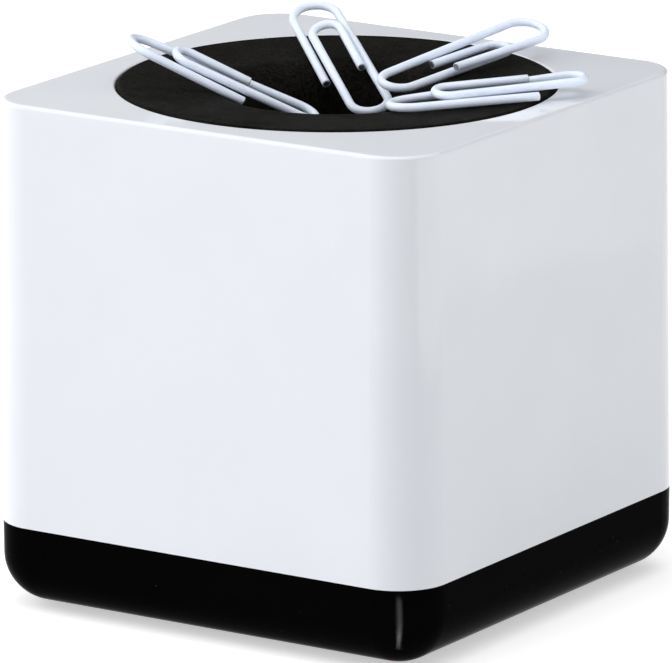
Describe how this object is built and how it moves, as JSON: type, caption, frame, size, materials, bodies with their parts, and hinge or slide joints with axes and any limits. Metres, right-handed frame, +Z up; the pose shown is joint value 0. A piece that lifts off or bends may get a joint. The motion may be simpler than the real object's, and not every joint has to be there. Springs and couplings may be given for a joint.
{
  "type": "magnetic paper clip holder",
  "caption": "Cube-shaped desk holder with a white shell, black base and a lift-out magnetic dish whose throat opens into the clip well, with coated clips clinging to its rim.",
  "frame": {"origin": "centre of the underside, on the plane the feet stand on", "axes": "+Z up along the axis of the dish; -Y is the face on the left of the picture and +X the face on its right"},
  "size_m": [0.065, 0.065, 0.0719],
  "materials": {
    "shell_white": "high gloss white ABS",
    "base_black": "high gloss black ABS",
    "insert_black": "satin black, finely textured",
    "magnet_ferrite": "ground ferrite",
    "retainer_black": "plain moulded black",
    "foot_rubber": "matte rubber",
    "clip_vinyl": "smooth white vinyl coat",
    "clip_steel": "cut steel wire"
  },
  "bodies": {
    "housing": {"outer_shell": "shell_white", "base_tray": "base_black", "foot_1": "foot_rubber", "foot_2": "foot_rubber", "foot_3": "foot_rubber", "foot_4": "foot_rubber"},
    "insert": {"funnel_insert": "insert_black", "ring_magnet": "magnet_ferrite", "magnet_retainer": "retainer_black"},
    "clip_left": {"clip_left_coat": "clip_vinyl", "clip_left_wire": "clip_steel"},
    "clip_back": {"clip_back_coat": "clip_vinyl", "clip_back_wire": "clip_steel"},
    "clip_right": {"clip_right_coat": "clip_vinyl", "clip_right_wire": "clip_steel"},
    "clip_front": {"clip_front_coat": "clip_vinyl", "clip_front_wire": "clip_steel"}
  },
  "joints": [
    {"name": "insert_lift", "type": "slide", "parent": "housing", "child": "insert", "axis": [0, 0, 1], "range_m": [0, 0.04]},
    {"name": "clip_left_pull", "type": "slide", "parent": "insert", "child": "clip_left", "axis": [-0.6511, -0.4037, 0.6428], "range_m": [0, 0.03]},
    {"name": "clip_back_pull", "type": "slide", "parent": "insert", "child": "clip_back", "axis": [-0.6871, 0.5272, 0.5], "range_m": [0, 0.03]},
    {"name": "clip_right_pull", "type": "slide", "parent": "insert", "child": "clip_right", "axis": [0.2873, 0.8947, 0.342], "range_m": [0, 0.03]},
    {"name": "clip_front_pull", "type": "slide", "parent": "insert", "child": "clip_front", "axis": [0.6488, 0.7156, 0.2588], "range_m": [0, 0.03]}
  ]
}
